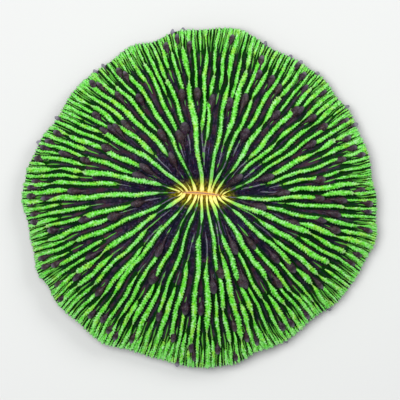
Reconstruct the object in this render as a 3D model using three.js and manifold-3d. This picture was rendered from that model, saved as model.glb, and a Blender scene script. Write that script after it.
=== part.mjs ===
// A mushroom coral: one free-living polyp, a low domed disc whose ridges spread from a slit mouth.
// Millimetres, +Z up. The origin is at the middle of the disc, on the surface that it rests on.
// +X and +Y lie in that surface, and the mouth's slit runs nearly along X.

import * as THREE from "three";
import { mergeVertices } from "three/addons/utils/BufferGeometryUtils.js";
import Module from "manifold-3d";

// The rim seen from above: [angle from +X in degrees, distance from the origin], at each lobe and dent.
const RIM = [
  [0, 59.4], [6, 58.2], [14, 58.5], [24, 57.7], [31, 58.2], [36, 57.1], [43, 57.8], [54, 56.7],
  [63, 55.7], [78, 58.1], [90, 56.6], [97, 56.8], [107, 54.9], [114, 56.1], [124, 55.0], [140, 55.7],
  [150, 54.9], [162, 57.3], [172, 59.1], [180, 60.0], [189, 58.6], [197, 58.8], [205, 60.3], [210, 59.2],
  [216, 59.8], [226, 58.6], [235, 58.9], [247, 56.2], [256, 56.0], [270, 57.2], [282, 57.0], [290, 55.2],
  [301, 56.1], [312, 55.5], [326, 58.3], [337, 59.2], [347, 60.8], [354, 59.5],
];

const MEAN_REACH = 57;

// The mouth is a slit, a little off the middle and turned by a few degrees.
const MOUTH_X = 0.5;
const MOUTH_Y = 1.3;
const MOUTH_HALF_LENGTH = 6.6;
const MOUTH_TURN = -4.5;
const MOUTH_SINK = 1.2;
const MOUTH_POINTS = 12;

// Heights of the flesh between the ridges. A share is of the way from the mouth, 0, to the rim, 1.
const RIM_LEVEL = 3.4;
const DOME_RISE = 18.4;
const DOME_FULLNESS = 0.8;
const PIT_DEPTH = 4.2;
const PIT_REACH = 0.15;
const WAVE_HEIGHT = 0.7;
const WAVE_COUNT = 5;
const WAVE_START = 1;
const WAVE_FALL_OFF = 4;

// The ridges stand on the flesh, lower at the mouth and at the rim.
const RIDGE_HEIGHT = 3.0;
const RIDGE_PART_AT_MOUTH = 0.45;
const FULL_FROM = 0.3;
const FULL_TO = 0.6;
const RIDGE_PART_AT_RIM = 0.62;
const RIDGE_RISE = 0.06;
const LOWER_BY_ORDER = 0.07;
const MEANDER = 0.32;
const MEANDER_LENGTH = 17;

// At the rim the ridges stand out past the flesh between them.
const OVERHANG = 0.8;
const OVERHANG_FROM = 0.85;

// First ridges reach the mouth: [angle at the slit, angle a quarter of the way out, angle at the rim].
const FIRST_RIDGES = [
  [12, 25.5, 30], [44, 51, 52], [57, 63, 62], [66, 75, 77], [82, 91.5, 96.5], [100, 111, 121],
  [124, 138, 150], [158, 163.5, 170.5], [182, 180.5, 181.5], [207, 203, 200], [218, 212.5, 213],
  [243, 230, 231], [252, 245.5, 242], [260, 254, 249], [267, 267, 265.8], [279, 280.5, 281],
  [288, 290.5, 293.5], [299, 303.5, 308], [312, 321.5, 319.5], [325, 338.5, 337.5], [344, 357, 362],
];

// Second ridges start further out: [share at the start, angle there, angle at the rim].
const SECOND_RIDGES = [
  [0.4, 4, 5.2], [0.29, 14.5, 16.5], [0.33, 20, 24], [0.33, 32.5, 34.2], [0.17, 38.5, 38.5],
  [0.29, 44, 45], [0.43, 58.5, 57.3], [0.31, 68.5, 71.5], [0.3, 85, 83.8], [0.37, 88.5, 87.6],
  [0.4, 100, 108], [0.37, 107, 113], [0.25, 120, 135], [0.31, 132, 141], [0.31, 150.5, 155],
  [0.31, 158.5, 161], [0.29, 190, 191.5], [0.45, 195, 196], [0.3, 219.5, 220.5], [0.39, 225.5, 226],
  [0.38, 237.5, 237], [0.38, 260, 257.5], [0.37, 273, 272.5], [0.33, 285, 286], [0.35, 297.5, 301],
  [0.38, 312, 313.5], [0.26, 331, 332], [0.42, 326.5, 326], [0.25, 347.5, 350], [0.48, 343, 344],
];
const SPREAD_EASE = 0.7;

// Later ridges start wherever two neighbours have spread too far apart: [share, widest gap].
const LATER_FROM = 0.45;
const LATER_TO = 0.955;
const LATER_STEP = 0.01;
const WIDEST_GAPS = [[0.45, 5.6], [0.6, 4.4], [0.75, 3.4], [0.87, 2.9], [0.96, 1.9]];
const GAP_SCATTER = 0.3;
const BETWEEN_SCATTER = 0.12;

// A tentacle sits at the inner end of every other ridge, and again where a ridge dips further out.
const TENTACLE_LENGTH = 3.8;
const TENTACLE_WIDTH = 2.4;
const TENTACLE_HEIGHT = 3.2;
const TENTACLE_LEVEL = 1.3;
const TENTACLE_PART_AT_RIM = 0.72;
const TENTACLES_SHRINK_FROM = 0.5;
const TENTACLES_FROM = 0.22;
const TENTACLES_TO = 0.94;
const STARTS_WITH_TENTACLE = 0.55;
const DIPS_WITH_TENTACLE = 0.6;
const DIP_AFTER = 0.22;
const DIP_SPREAD = 0.55;
const DIP_REACH = 0.028;
const DIP_DEPTH = 0.7;

// The underside: a flat ring bears the weight, and the middle is hollow.
const RING_OUTER = 0.88;
const RING_INNER = 0.68;
const EDGE_LEVEL = 1.5;
const UNDERSIDE_COLUMNS = 48;

// The hollow underneath: [share, height, columns], out to in, ending at the flat scar in the middle.
const HOLLOW = [[0.5, 2.3, 48], [0.3, 3.8, 24], [0.14, 4.2, 24]];

// Shares of the way out where the upper surface has a row of points.
const ROWS = [0.03, 0.08, 0.14, 0.21, 0.3, 0.39, 0.48, 0.58, 0.68, 0.78, 0.87, 0.94, 1];

const FLESH_GREEN = 0x82e263;

const { degToRad: radians, radToDeg, lerp, smoothstep, clamp } = THREE.MathUtils;

// A number from 0 to 1 that looks random and is the same each time.
function scatter(n) {
  const s = Math.sin(n * 12.9898) * 43758.5453;
  return s - Math.floor(s);
}

function rimRadius(angle) {
  const a = ((angle % 360) + 360) % 360;
  const next = RIM.findIndex(([at]) => at > a);
  const [a1, r1] = next < 0 ? [360, RIM[0][1]] : RIM[next];
  const [a0, r0] = next < 0 ? RIM[RIM.length - 1] : RIM[next - 1];
  return lerp(r0, r1, smoothstep(a, a0, a1));
}

// The point of the mouth's slit that the ray of this angle leaves from.
function slitPoint(angle) {
  const along = MOUTH_HALF_LENGTH * Math.cos(radians(angle - MOUTH_TURN));
  return new THREE.Vector2(
    MOUTH_X + along * Math.cos(radians(MOUTH_TURN)),
    MOUTH_Y + along * Math.sin(radians(MOUTH_TURN)),
  );
}

// The point at a share of the way from the slit to the rim, seen from above.
function spot(share, angle, inset = 0) {
  const from = slitPoint(angle);
  const reach = rimRadius(angle) - inset;
  const to = new THREE.Vector2(reach * Math.cos(radians(angle)), reach * Math.sin(radians(angle)));
  return from.lerp(to, share);
}

// The disc's edge rises and falls a little on its way round.
function wave(share, angle) {
  return WAVE_HEIGHT * share ** WAVE_FALL_OFF * Math.sin(WAVE_COUNT * radians(angle) + WAVE_START);
}

function fleshHeight(share, angle) {
  const dome = DOME_RISE * Math.pow(Math.max(0, 1 - share * share), DOME_FULLNESS);
  const pit = PIT_DEPTH * Math.exp(-((share / PIT_REACH) ** 2));
  return RIM_LEVEL + dome - pit + wave(share, angle);
}

// Where a ridge dips under a tentacle, or null for a ridge that has no dip.
function dipShare(ridge) {
  if (scatter(ridge.id + 0.6) > DIPS_WITH_TENTACLE) return null;
  const share = Math.max(ridge.start, TENTACLES_FROM) + DIP_AFTER + DIP_SPREAD * scatter(ridge.id + 0.65);
  return share < TENTACLES_TO ? share : null;
}

function ridgeHeight(share, ridge) {
  const inner = lerp(RIDGE_PART_AT_MOUTH, 1, smoothstep(share, 0, FULL_FROM));
  const outer = lerp(1, RIDGE_PART_AT_RIM, smoothstep(share, FULL_TO, 1));
  const started = ridge.order === 1 ? 1 : clamp((share - ridge.start) / RIDGE_RISE, 0, 1);
  const dip = dipShare(ridge);
  const sunk = dip === null ? 1 : 1 - DIP_DEPTH * Math.exp(-(((share - dip) / DIP_REACH) ** 2));
  return RIDGE_HEIGHT * inner * outer * started * sunk * (1 - LOWER_BY_ORDER * (ridge.order - 1));
}

// The smooth curve that has these values at 0, 0.5 and 1.
function throughThree(start, middle, end, x) {
  return start * (1 - x) * (1 - 2 * x) + 4 * middle * x * (1 - x) + end * x * (2 * x - 1);
}

// The angle of each ridge at a share of the way out. A later ridge keeps between its two neighbours.
function ridgeAngles(ridges, share) {
  const angles = [];
  for (const ridge of ridges) {
    const phase = 2 * Math.PI * ((share * MEAN_REACH) / MEANDER_LENGTH + scatter(ridge.id));
    const swayAngle = radToDeg(MEANDER / (MOUTH_HALF_LENGTH + share * MEAN_REACH));
    const sway = swayAngle * Math.sin(phase);
    if (ridge.order === 1) {
      const [atSlit, near, atRim] = ridge.angles;
      angles.push(throughThree(atSlit, near, atRim, Math.sqrt(share)) + sway);
    } else if (ridge.order === 2) {
      const run = clamp((share - ridge.start) / (1 - ridge.start), 0, 1);
      angles.push(lerp(ridge.angles[0], ridge.angles[1], run ** SPREAD_EASE) + sway);
    } else {
      const right = angles[ridge.right] + (ridge.wraps ? 360 : 0);
      angles.push(lerp(angles[ridge.left], right, ridge.between));
    }
  }
  return angles;
}

// The ridges that have started at a share of the way out, in order round the mouth, with their angles.
function ridgesAt(ridges, share) {
  const angles = ridgeAngles(ridges, share);
  return ridges
    .filter((ridge) => ridge.start <= share)
    .map((ridge) => ({ ridge, angle: angles[ridge.id] }))
    .sort((a, b) => a.angle - b.angle);
}

function widestGap(share) {
  const next = Math.max(1, WIDEST_GAPS.findIndex(([at]) => at > share));
  const [s0, gap0] = WIDEST_GAPS[next - 1];
  const [s1, gap1] = WIDEST_GAPS[next];
  return lerp(gap0, gap1, (share - s0) / (s1 - s0));
}

function growRidges() {
  const ridges = [];
  for (const angles of FIRST_RIDGES) ridges.push({ id: ridges.length, order: 1, start: 0, angles });
  for (const [start, ...angles] of SECOND_RIDGES) ridges.push({ id: ridges.length, order: 2, start, angles });
  for (let share = LATER_FROM; share < LATER_TO; share += LATER_STEP) {
    const live = ridgesAt(ridges, share);
    live.forEach((here, i) => {
      const next = live[(i + 1) % live.length];
      const gap = spot(share, here.angle).distanceTo(spot(share, next.angle));
      const id = ridges.length;
      if (gap < widestGap(share) * (1 + GAP_SCATTER * (scatter(id) - 0.5))) return;
      ridges.push({
        id,
        order: Math.max(here.ridge.order, next.ridge.order, 2) + 1,
        start: share + LATER_STEP * scatter(id + 0.5),
        left: here.ridge.id,
        right: next.ridge.id,
        wraps: i + 1 === live.length,
        between: 0.5 + BETWEEN_SCATTER * (scatter(id + 0.25) - 0.5),
      });
    });
  }
  return ridges;
}

// One row of points round the disc: a crest on each ridge, and a dip halfway to the next.
function upperRow(ridges, share) {
  const live = ridgesAt(ridges, share);
  const inset = OVERHANG * smoothstep(share, OVERHANG_FROM, 1);
  return live.map(({ ridge, angle }, i) => {
    const next = i + 1 < live.length ? live[i + 1].angle : live[0].angle + 360;
    const crest = spot(share, angle);
    const halfway = (angle + next) / 2;
    const dip = spot(share, halfway, inset);
    return {
      id: ridge.id,
      angle,
      halfway,
      crest: new THREE.Vector3(crest.x, crest.y, fleshHeight(share, angle) + ridgeHeight(share, ridge)),
      dip: new THREE.Vector3(dip.x, dip.y, fleshHeight(share, halfway)),
    };
  });
}

// Gathers triangles as loose corners.
class Skin {
  corners = [];

  triangle(a, b, c) {
    if (a.distanceTo(b) < 1e-4 || b.distanceTo(c) < 1e-4 || c.distanceTo(a) < 1e-4) return;
    for (const p of [a, b, c]) this.corners.push(p.x, p.y, p.z);
  }

  // Joins two closed rows of [point, angle], both counterclockwise, the second one further along the skin.
  join(inner, outer) {
    let i = 0;
    let j = 0;
    const at = (row, k) => row[k % row.length][0];
    const turn = (row, k) => row[k % row.length][1] + 360 * Math.floor(k / row.length);
    while (i < inner.length || j < outer.length) {
      const innerNext = i < inner.length ? turn(inner, i) + turn(inner, i + 1) : Infinity;
      const outerNext = j < outer.length ? turn(outer, j) + turn(outer, j + 1) : Infinity;
      if (innerNext < outerNext) {
        this.triangle(at(inner, i), at(outer, j), at(inner, i + 1));
        i += 1;
      } else {
        this.triangle(at(inner, i), at(outer, j), at(outer, j + 1));
        j += 1;
      }
    }
  }

  // Joins two upper rows, crest to crest. A ridge that starts between them grows out of the dip.
  joinUpper(inner, outer) {
    const first = outer.findIndex((o) => o.id === inner[0].id);
    let j = first;
    const step = () => outer[j++ % outer.length];
    inner.forEach((here, i) => {
      const next = inner[(i + 1) % inner.length];
      let last = step();
      this.triangle(here.crest, last.crest, last.dip);
      this.triangle(here.crest, last.dip, here.dip);
      while (outer[j % outer.length].id !== next.id) {
        const born = step();
        this.triangle(here.dip, last.dip, born.crest);
        this.triangle(here.dip, born.crest, born.dip);
        last = born;
      }
      const crest = outer[j % outer.length].crest;
      this.triangle(here.dip, last.dip, crest);
      this.triangle(here.dip, crest, next.crest);
    });
  }

  geometry() {
    const made = new THREE.BufferGeometry();
    made.setAttribute("position", new THREE.Float32BufferAttribute(this.corners, 3));
    return mergeVertices(made, 1e-4);
  }
}

const flatten = (row) => row.flatMap((r) => [[r.crest, r.angle], [r.dip, r.halfway]]);

// A plain closed row of the underside, at one height, with a point at each of these angles.
function plainRow(share, height, angles) {
  return angles.map((angle) => {
    const reach = rimRadius(angle) * share;
    const [x, y] = [reach * Math.cos(radians(angle)), reach * Math.sin(radians(angle))];
    return [new THREE.Vector3(x, y, height), angle];
  });
}

const evenAngles = (count) => Array.from({ length: count }, (_, i) => (360 * i) / count);

// The mouth's floor is a line, there and back along the slit.
function mouthFloor() {
  return evenAngles(MOUTH_POINTS).map((turn) => {
    const angle = turn + MOUTH_TURN;
    const p = slitPoint(angle);
    return [new THREE.Vector3(p.x, p.y, fleshHeight(0, angle) - MOUTH_SINK), angle];
  });
}

function discGeometry(ridges) {
  const skin = new Skin();
  const rows = ROWS.map((share) => upperRow(ridges, share));
  skin.join(mouthFloor(), flatten(rows[0]));
  for (let i = 1; i < rows.length; i++) skin.joinUpper(rows[i - 1], rows[i]);

  const rim = rows[rows.length - 1];
  const edge = rim.map((r) => ({
    ...r,
    crest: r.crest.clone().setZ(EDGE_LEVEL + wave(1, r.angle)),
    dip: r.dip.clone().setZ(EDGE_LEVEL + OVERHANG + wave(1, r.halfway)),
  }));
  skin.joinUpper(rim, edge);

  const under = [
    plainRow(RING_OUTER, 0, rim.map((r) => r.angle)),
    plainRow(RING_INNER, 0, evenAngles(UNDERSIDE_COLUMNS)),
    ...HOLLOW.map(([share, height, columns]) => plainRow(share, height, evenAngles(columns))),
  ];
  skin.join(flatten(edge), under[0]);
  for (let i = 1; i < under.length; i++) skin.join(under[i - 1], under[i]);
  const scar = under[under.length - 1];
  const middle = new THREE.Vector3(0, 0, scar[0][0].z);
  scar.forEach(([p], i) => skin.triangle(p, middle, scar[(i + 1) % scar.length][0]));
  return skin.geometry();
}

// Where the tentacles sit: [ridge, share].
function tentacleSeats(ridges) {
  const seats = [];
  for (const ridge of ridges) {
    const atStart = ridge.order > 1 && ridge.start < TENTACLES_TO;
    if (atStart && scatter(ridge.id + 0.75) < STARTS_WITH_TENTACLE) seats.push([ridge, ridge.start]);
    const dip = dipShare(ridge);
    if (dip !== null) seats.push([ridge, dip]);
  }
  return seats;
}

// A low-sided bud, long way outwards.
function tentacleGeometry(share, angle) {
  const size = lerp(1, TENTACLE_PART_AT_RIM, smoothstep(share, TENTACLES_SHRINK_FROM, 1));
  const at = spot(share, angle);
  const bud = new THREE.OctahedronGeometry(1, 0).deleteAttribute("normal").deleteAttribute("uv");
  bud.scale((TENTACLE_LENGTH / 2) * size, (TENTACLE_WIDTH / 2) * size, (TENTACLE_HEIGHT / 2) * size);
  bud.rotateZ(radians(angle));
  bud.translate(at.x, at.y, fleshHeight(share, angle) + TENTACLE_LEVEL * size);
  return mergeVertices(bud, 1e-4);
}

const wasm = await Module();
wasm.setup();

function solid(geometry) {
  return new wasm.Manifold(
    new wasm.Mesh({
      numProp: 3,
      vertProperties: geometry.getAttribute("position").array,
      triVerts: new Uint32Array(geometry.index.array),
    }),
  );
}

function geometryOf(manifold) {
  const mesh = manifold.getMesh();
  const made = new THREE.BufferGeometry();
  made.setAttribute("position", new THREE.BufferAttribute(mesh.vertProperties, 3));
  made.setIndex(new THREE.BufferAttribute(mesh.triVerts, 1));
  made.computeVertexNormals();
  return made;
}

function coral() {
  const ridges = growRidges();
  let body = solid(discGeometry(ridges));
  for (const [ridge, share] of tentacleSeats(ridges)) {
    body = body.add(solid(tentacleGeometry(share, ridgeAngles(ridges, share)[ridge.id])));
  }
  const finish = new THREE.MeshStandardMaterial({ color: FLESH_GREEN, roughness: 0.45, metalness: 0 });
  const mesh = new THREE.Mesh(geometryOf(body), finish);
  mesh.name = "mushroom_coral";
  return mesh;
}

const part = new THREE.Group();
part.add(coral());

export default part;
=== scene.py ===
"""A living mushroom coral, seen from above: green toothed ridges fan from a slit mouth over dark flesh."""

import math

import bmesh
import bpy
import numpy as np
from bpy.props import FloatProperty, FloatVectorProperty, IntProperty, PointerProperty
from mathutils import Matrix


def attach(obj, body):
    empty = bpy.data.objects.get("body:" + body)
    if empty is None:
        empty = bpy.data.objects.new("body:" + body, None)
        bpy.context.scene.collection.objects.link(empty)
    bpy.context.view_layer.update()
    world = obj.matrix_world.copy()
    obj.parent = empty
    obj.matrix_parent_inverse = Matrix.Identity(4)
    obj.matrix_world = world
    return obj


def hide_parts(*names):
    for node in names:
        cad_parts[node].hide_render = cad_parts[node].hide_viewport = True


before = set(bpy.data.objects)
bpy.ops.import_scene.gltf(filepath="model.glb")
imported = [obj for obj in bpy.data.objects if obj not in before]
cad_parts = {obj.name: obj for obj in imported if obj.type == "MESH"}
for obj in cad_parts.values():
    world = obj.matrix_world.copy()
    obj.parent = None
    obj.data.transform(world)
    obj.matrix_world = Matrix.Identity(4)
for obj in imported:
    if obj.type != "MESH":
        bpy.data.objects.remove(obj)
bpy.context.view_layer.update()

bl_info = {
    "name": "Mushroom Coral",
    "version": (1, 0, 0),
    "blender": (4, 5, 0),
    "location": "3D View > Sidebar > Coral",
    "description": "Models a living mushroom coral over its plain solid",
    "category": "Add Mesh",
}

NODE = "mushroom_coral"
MM = 0.001
TINY = 1e-9

# Places seen from above are complex numbers in mm, x + 1j * y. Angles are in degrees from +X.
# The rim: angle, distance from the origin in mm, at each lobe and dent.
RIM = [
    (0, 59.4), (6, 58.2), (14, 58.5), (24, 57.7), (31, 58.2), (36, 57.1), (43, 57.8), (54, 56.7),
    (63, 55.7), (78, 58.1), (90, 56.6), (97, 56.8), (107, 54.9), (114, 56.1), (124, 55.0), (140, 55.7),
    (150, 54.9), (162, 57.3), (172, 59.1), (180, 60.0), (189, 58.6), (197, 58.8), (205, 60.3), (210, 59.2),
    (216, 59.8), (226, 58.6), (235, 58.9), (247, 56.2), (256, 56.0), (270, 57.2), (282, 57.0), (290, 55.2),
    (301, 56.1), (312, 55.5), (326, 58.3), (337, 59.2), (347, 60.8), (354, 59.5),
]
RIM_ANGLES, RIM_REACHES = np.array(RIM + [(360, RIM[0][1])]).T
MEAN_REACH = 57

# The mouth's slit.
MOUTH = 0.5 + 1.3j
MOUTH_HALF_LENGTH = 6.6
MOUTH_TURN = -4.5

# Heights of the flesh, in mm. A share is of the way from the mouth, 0, to the rim, 1.
RIM_LEVEL = 3.4
DOME_RISE = 18.4
DOME_FULLNESS = 0.8
PIT_DEPTH = 4.2
PIT_REACH = 0.15
WAVE_HEIGHT = 0.7
WAVE_COUNT = 5
WAVE_START = 1
WAVE_FALL_OFF = 4

# The ridges stand on the flesh, lower at the mouth and at the rim.
RIDGE_HEIGHT = 3.0
RIDGE_PART_AT_MOUTH = 0.45
FULL_FROM = 0.3
FULL_TO = 0.6
RIDGE_PART_AT_RIM = 0.62
RIDGE_RISE = 0.06
LOWER_BY_ORDER = 0.07
MEANDER = 0.32
MEANDER_LENGTH = 17

# First ridges reach the mouth: angle at the slit, angle a quarter of the way out, angle at the rim.
FIRST_RIDGES = [
    (12, 25.5, 30), (44, 51, 52), (57, 63, 62), (66, 75, 77), (82, 91.5, 96.5), (100, 111, 121),
    (124, 138, 150), (158, 163.5, 170.5), (182, 180.5, 181.5), (207, 203, 200), (218, 212.5, 213),
    (243, 230, 231), (252, 245.5, 242), (260, 254, 249), (267, 267, 265.8), (279, 280.5, 281),
    (288, 290.5, 293.5), (299, 303.5, 308), (312, 321.5, 319.5), (325, 338.5, 337.5), (344, 357, 362),
]

# Second ridges start further out: share at the start, angle there, angle at the rim.
SECOND_RIDGES = [
    (0.4, 4, 5.2), (0.29, 14.5, 16.5), (0.33, 20, 24), (0.33, 32.5, 34.2), (0.17, 38.5, 38.5),
    (0.29, 44, 45), (0.43, 58.5, 57.3), (0.31, 68.5, 71.5), (0.3, 85, 83.8), (0.37, 88.5, 87.6),
    (0.4, 100, 108), (0.37, 107, 113), (0.25, 120, 135), (0.31, 132, 141), (0.31, 150.5, 155),
    (0.31, 158.5, 161), (0.29, 190, 191.5), (0.45, 195, 196), (0.3, 219.5, 220.5), (0.39, 225.5, 226),
    (0.38, 237.5, 237), (0.38, 260, 257.5), (0.37, 273, 272.5), (0.33, 285, 286), (0.35, 297.5, 301),
    (0.38, 312, 313.5), (0.26, 331, 332), (0.42, 326.5, 326), (0.25, 347.5, 350), (0.48, 343, 344),
]
SPREAD_EASE = 0.7

# Later ridges start wherever two neighbours have spread too far apart: share, widest gap in mm.
LATER_FROM = 0.45
LATER_TO = 0.955
LATER_STEP = 0.01
WIDEST_GAPS = [(0.45, 5.6), (0.6, 4.4), (0.75, 3.4), (0.87, 2.9), (0.96, 1.9)]
GAP_SCATTER = 0.3
BETWEEN_SCATTER = 0.12

# How much further out than in the plain solid such a ridge comes into sight: share, change of share.
SEEN_LATER = [(0.45, -0.07), (0.5, -0.04), (0.55, 0.0), (0.62, 0.05), (0.82, 0.055), (0.9, 0.03), (0.95, 0.0)]

# Where the tentacles sit, how far beside their ridge in mm, and where a ridge dips under one.
TENTACLE_ASIDE = (0.35, 0.85)
TENTACLES_FROM = 0.22
TENTACLES_TO = 0.94
STARTS_WITH_TENTACLE = 0.55
DIPS_WITH_TENTACLE = 0.6
DIP_AFTER = 0.22
DIP_SPREAD = 0.55
DIP_REACH = 0.028
DIP_DEPTH = 0.7

# Small tentacles peep over the rim, beside each ninth ridge where the rim's reach in mm leaves room,
# and at some of the ridges that start past TENTACLES_TO.
RIM_TENTACLE_AT = 0.99
RIM_TENTACLE_EACH = 9
RIM_TENTACLE_REACH = 58.2
RIM_TENTACLE_BESIDE = 0.7
LAST_STARTS_WITH_TENTACLE = 0.3

# Sizes and levels of the tentacles: the head's level in mm, and their size, smaller towards the rim.
TENTACLE_LEVEL = 1.3
STEM_LEVEL = 0.15
TENTACLE_PART_AT_RIM = 0.72
TENTACLES_SHRINK_FROM = 0.5
SMALL_TENTACLES_FROM = 0.96
SMALL_TENTACLE_PART = 0.72
STEM_LENGTHS = (0.7, 1.6)
STEM_THICKNESS = 0.26
HEAD_WIDTHS = (0.85, 1.15)
TENTACLE_TWIST = 14
TENTACLE_LUMPS = (0.84, 1.16)

# Breaks in the bright crest besides the dips, as shares and the spread of each: the first one, and
# the run to each next one. At a break the crest narrows to a thread and starts again to one side.
BREAK_AFTER = (0.26, 0.3)
BREAK_AGAIN = (0.13, 0.17)
BREAKS_TO = 0.9
THREAD_PART = 0.26

# The bands between two breaks: their lengths of growing and narrowing in mm, widths and shift in mm.
BAND_GROWS = (1.6, 6.2)
BAND_NARROWS = (0.8, 5.0)
BAND_WIDTHS = (0.84, 1.14)
BAND_SHIFT = 0.4
SHIFT_STEPS = 9

# Where the inner part of a first ridge ends in a dull stretch: number, share at its middle, length in mm.
INNER_GAPS = {
    0: (0.12, 5.0), 1: (0.14, 2.4), 2: (0.2, 3.0), 5: (0.12, 2.6), 7: (0.12, 1.5), 8: (0.08, 5.5),
    9: (0.1, 5.5), 10: (0.18, 2.2), 11: (0.1, 2.0), 12: (0.18, 4.6), 13: (0.08, 2.6), 14: (0.2, 2.8),
    16: (0.2, 5.0), 17: (0.11, 2.0), 18: (0.1, 2.0), 20: (0.07, 2.6),
}
INNER_GAP_WIDTH = 0.3

# Short septa stand between the first ridges at the mouth: the share where one ends, and its spread.
SEPTUM_TO = (0.05, 0.05)
SEPTUM_ROOM = 2.75
SEPTUM_HEIGHTS = (0.95, 0.55)

# Thin fringe ridges stand at the rim: share of the first and the spread, and the least gap in mm.
FRINGE_FROM = (0.9, 0.055)
FRINGE_ROOM = 1.45
FRINGE_AT = 0.97
FRINGE_HEIGHTS = (0.7, 0.9)
THIN_ORDER = 5

# A ridge begins inside its start as a low dull thread, this far back by order, and from THREADS_FROM
# at the nearest, as shares.
LEAD = {1: 0.0, 2: 0.17, 3: 0.09}
THREAD_WIDTH = 0.55
THREAD_HEIGHT = 0.55
THREADS_FROM = 0.09

# Near the mouth a ridge bends to meet the slit squarely.
BEND_TO = 0.075
BEND_SIDEWAYS = 0.3
BEND_TURNING = (0.12, 0.5)
LIP_EDGE = 0.15
SLIT_PART = 0.87

# A ridge's section, across in half widths and up in ridge heights. -1 is its foot in the flesh.
SECTION = np.array([
    (1.0, 0.72), (0.62, 0.93), (0.0, 1.0), (-0.62, 0.93), (-1.0, 0.72),
    (-0.55, 0.5), (-0.55, -1.0), (0.55, -1.0), (0.55, 0.5),
])
FOOT_DEPTH = 0.9
FEWEST_RINGS = 6

# How far in mm a ridge ends short of the rim, from least to most, for a usual ridge and a thin one.
RIM_SHORT = ((0.1, 0.45), (0.25, 0.7))

# Crest widths, as parts of the usual one: each ridge's own, the kinds of thin ridges, and at the slit.
OWN_WIDTHS = (0.84, 1.16)
SEPTUM_WIDTH = 0.7
THIN_WIDTH = 0.78
SLIM_CHANCE = 0.45
SLIM_WIDTH = 0.78
SLIT_WIDTHS = (0.68, 1.18)
SLIT_BULGE = 1.25
INNER_BULGE = 0.3
SLIT_END_THINNING = 0.45
SWELL = 0.16
THREAD_SWELL = 0.4
RIM_TAPER = 0.86

# Teeth along a crest: where in a tooth its point is, how far the teeth wander from even steps, how
# strong they are, and how far the edge stands out under them, which drifts at its own pace.
TOOTH_POINT = 0.7
TOOTH_WANDER = 0.3
TOOTH_STRENGTHS = (0.2, 1.7)
EDGE_OUT = (0.2, 0.8)
EDGE_DRIFT = 0.55
RIGHT_TEETH_LATER = 0.45
TOOTH_LEAN = 0.35
TOOTH_DROP = 0.2

# The skin: rows from the mouth, over the rim, to the middle underneath, each as share and how far round
# the edge, 0 above and 1 below.
SKIN_ROWS = (
    [(0.03 + 0.04 * i, 0.0) for i in range(4)]
    + [(0.19 + 0.0255 * i, 0.0) for i in range(31)]
    + [(share, 0.0) for share in (0.975, 0.99)]
    + [(1.0, part) for part in (0.0, 0.25, 0.5, 0.75, 1.0)]
    + [(share, 1.0) for share in (0.985, 0.965, 0.94, 0.91, 0.88, 0.85, 0.8, 0.74, 0.7, 0.68, 0.66, 0.62)]
    + [(share, 1.0) for share in (0.56, 0.5, 0.44, 0.37, 0.3, 0.24, 0.18, 0.14, 0.1, 0.05)]
)
SKIN_COLUMNS = 1440

# How far in mm the ridges stand out past the skin at the rim, how much the skin's edge is rounded, how
# much the flesh climbs a ridge, and the skin's folds and the fine lines underneath.
OVERHANG = 0.7
EDGE_BULGE = 0.15
FLESH_CLIMB = 0.4
FOLD_HEIGHT = 0.16
INNER_FOLDS = (84, 23)
OUTER_FOLDS = 190
COSTA_HEIGHT = 0.4
STREAKS_ROUND = 60
STREAKS_OUT = 9

# The underside, in mm above the surface it rests on.
RING_OUTER = 0.88
RING_INNER = 0.68
EDGE_LEVEL = 1.5
EDGE_FULLNESS = 0.8
HOLLOW = [(0.5, 2.3), (0.3, 3.8), (0.14, 4.2)]

# The lips, in mm.
LIP_HALF_WIDTH = 0.72
LIP_HEIGHT = 0.8
LIP_LEVEL = 0.45
LIP_PAST_SLIT = 0.4
LIP_BOW = 0.25
LIP_GROOVE = 0.4
LIP_GROOVE_WIDTH = 0.2
LIP_PUCKER = 0.1

# The picture, in pixels and metres, and the place and size of each light in metres.
PICTURE_PIXELS = 400
MIDDLE_PIXEL = (200.1, 197.9)
SENSOR_WIDTH = 36.0
RIM_HEIGHT = 4.0 * MM
FLOOR_HALF_WIDTH = 1.5
KEY_LIGHT = (-0.18, 0.08, 0.7), 0.55
FILL_LIGHT = (0.42, 0.36, 0.48), 0.35
WORLD_COLOUR = (0.9, 0.95, 1.0, 1.0)
WORLD_STRENGTH = 0.3


def srgb(red, green, blue):
    """A colour read as 0 to 255 on a screen, as Blender's linear colour."""
    def linear(level):
        part = level / 255
        return part / 12.92 if part <= 0.04045 else ((part + 0.055) / 1.055) ** 2.4
    return linear(red), linear(green), linear(blue)


def paint(name, description, *screen_colour):
    return FloatVectorProperty(
        name=name, description=description, default=srgb(*screen_colour),
        size=3, min=0, max=1, subtype="COLOR")


def length(name, description, default, low, high):
    return FloatProperty(
        name=name, description=description, default=default, min=low, max=high, unit="LENGTH")


def power(name, description, default):
    return FloatProperty(
        name=name, description=description, default=default, min=0.0, max=100.0, unit="POWER")


class RidgeSettings(bpy.types.PropertyGroup):
    width: length("Crest Width", "Width of a ridge's crest halfway out", 0.00155, 0.0005, 0.003)
    mouth_width: length(
        "Crest Width at Mouth", "Width of a ridge's crest where it meets the mouth", 0.001, 0.0003, 0.003)
    rim_width: length("Crest Width at Rim", "Width of a ridge's crest at the rim", 0.0013, 0.0003, 0.003)
    tooth: length("Tooth Spacing", "Distance from one tooth of a crest to the next", 0.0009, 0.0005, 0.003)
    tooth_depth: FloatProperty(
        name="Tooth Depth", description="How deep the notches between teeth are, of the half width",
        default=0.5, min=0.0, max=0.8, subtype="FACTOR")
    steps_per_tooth: IntProperty(
        name="Steps per Tooth", description="Rings of points along each tooth", default=4, min=2, max=8)


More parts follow.
